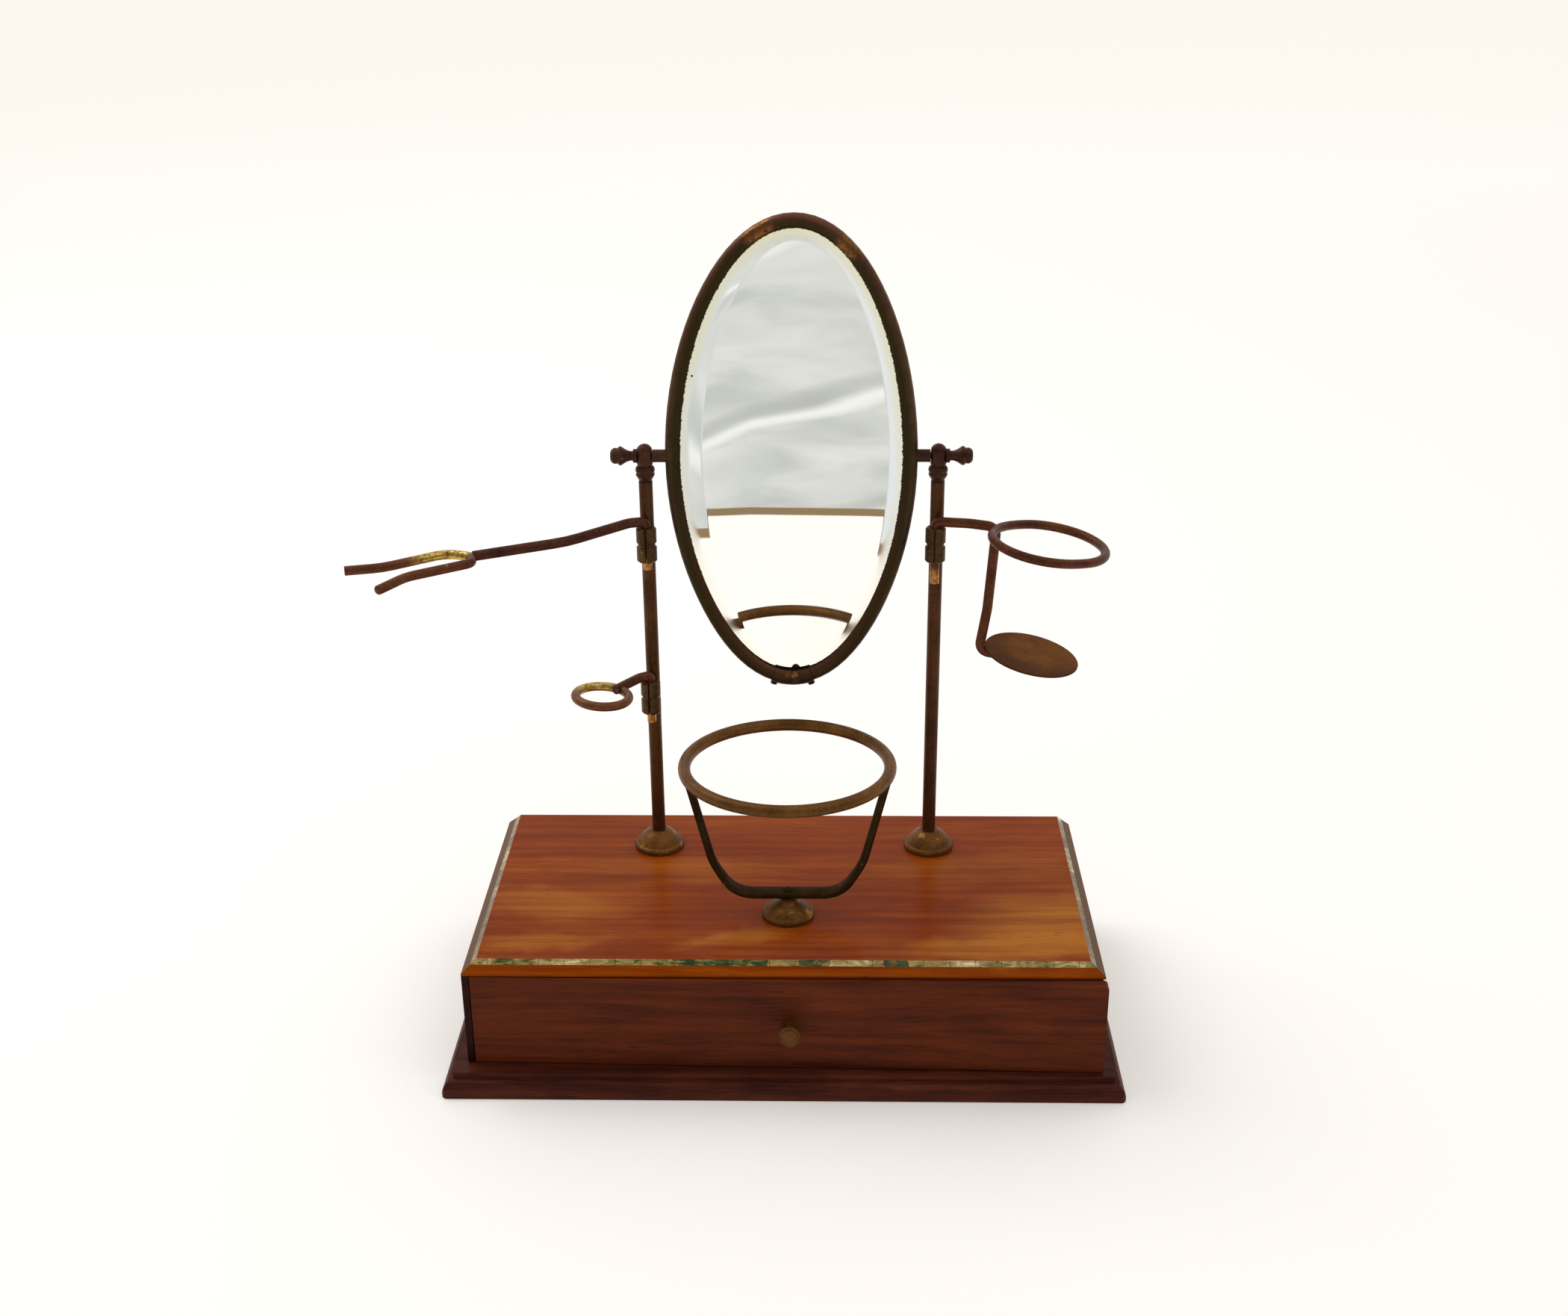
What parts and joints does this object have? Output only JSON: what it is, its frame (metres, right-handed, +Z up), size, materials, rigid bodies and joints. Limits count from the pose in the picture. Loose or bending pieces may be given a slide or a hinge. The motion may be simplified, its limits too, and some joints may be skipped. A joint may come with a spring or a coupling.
{
  "type": "victorian shaving stand",
  "caption": "Shaving stand: wooden base with a drawer, oval tilting mirror on slender posts, swinging fork, ring and tumbler holders, and a ring on a yoke for the bowl.",
  "frame": {"origin": "centre of the plinth's underside", "axes": "+X to the right seen from the front, +Y to the back, +Z up"},
  "size_m": [0.3544, 0.1616, 0.3868],
  "materials": {
    "backing": "stained board",
    "mirror_glass": "silvered, aged at the edge",
    "old_brass": "dark brown patina",
    "pine": "bare",
    "rosewood": "worn dark reddish brown, wax polish",
    "rosewood_light": "worn reddish brown, wax polish",
    "satinwood": "orange brown with lighter streaks, shellac polish",
    "shell": "iridescent shell, stands in for a natural shell inlay",
    "steel": "dull",
    "worn_brass": "brown patina rubbed to bare metal on the high spots"
  },
  "bodies": {
    "base": {"plinth": "rosewood", "left_side": "rosewood", "right_side": "rosewood", "back_board": "rosewood_light", "top_board": "satinwood", "inlay_front": "shell", "inlay_left": "shell", "inlay_right": "shell", "plinth_screws": "steel", "left_foot": "worn_brass", "right_foot": "worn_brass", "left_post": "old_brass", "right_post": "old_brass", "post_screws": "steel", "left_post_head": "old_brass", "right_post_head": "old_brass", "left_washer": "old_brass", "right_washer": "old_brass", "upper_left_lug": "old_brass", "lower_left_lug": "old_brass", "right_lug": "old_brass", "bowl_foot": "worn_brass", "bowl_yoke": "old_brass", "bowl_ring": "old_brass", "bowl_bolt": "old_brass", "bowl_nut": "steel"},
    "drawer": {"drawer_front": "rosewood_light", "drawer_left_side": "pine", "drawer_right_side": "pine", "drawer_back": "pine", "drawer_floor": "pine", "drawer_knob": "worn_brass"},
    "mirror": {"left_boss": "old_brass", "right_boss": "old_brass", "mirror_frame": "old_brass", "mirror_glass": "mirror_glass", "mirror_backing": "backing", "frame_sleeve": "old_brass", "sleeve_screws": "old_brass", "glass_stop": "worn_brass"},
    "left_knob": {"left_pivot_knob": "old_brass"},
    "right_knob": {"right_pivot_knob": "old_brass"},
    "fork": {"fork_arm": "old_brass", "fork_prongs": "worn_brass"},
    "small_holder": {"small_ring_arm": "old_brass", "small_ring": "worn_brass"},
    "tumbler_holder": {"tumbler_arm": "old_brass", "tumbler_ring": "old_brass", "tumbler_disc": "old_brass"}
  },
  "joints": [
    {"name": "drawer_slide", "type": "slide", "parent": "base", "child": "drawer", "axis": [0, -1, 0], "range_m": [0, 0.095]},
    {"name": "mirror_tilt", "type": "hinge", "parent": "base", "child": "mirror", "pos_m": [0.0035, 0.047, 0.2736], "axis": [1, 0, 0], "continuous": true},
    {"name": "left_knob_turn", "type": "hinge", "parent": "mirror", "child": "left_knob", "pos_m": [-0.0746, 0.047, 0.2736], "axis": [-1, 0, 0], "range_deg": [0, 360]},
    {"name": "right_knob_turn", "type": "hinge", "parent": "mirror", "child": "right_knob", "pos_m": [0.0816, 0.047, 0.2736], "axis": [1, 0, 0], "range_deg": [0, 360]},
    {"name": "fork_swing", "type": "hinge", "parent": "base", "child": "fork", "pos_m": [-0.0656, 0.0404, 0.2314], "axis": [0, 0, 1], "range_deg": [-40, 115]},
    {"name": "small_ring_swing", "type": "hinge", "parent": "base", "child": "small_holder", "pos_m": [-0.0664, 0.04045, 0.1516], "axis": [0, 0, 1], "range_deg": [-60, 95]},
    {"name": "tumbler_swing", "type": "hinge", "parent": "base", "child": "tumbler_holder", "pos_m": [0.0718, 0.04045, 0.2314], "axis": [0, 0, 1], "range_deg": [-115, 30]}
  ]
}
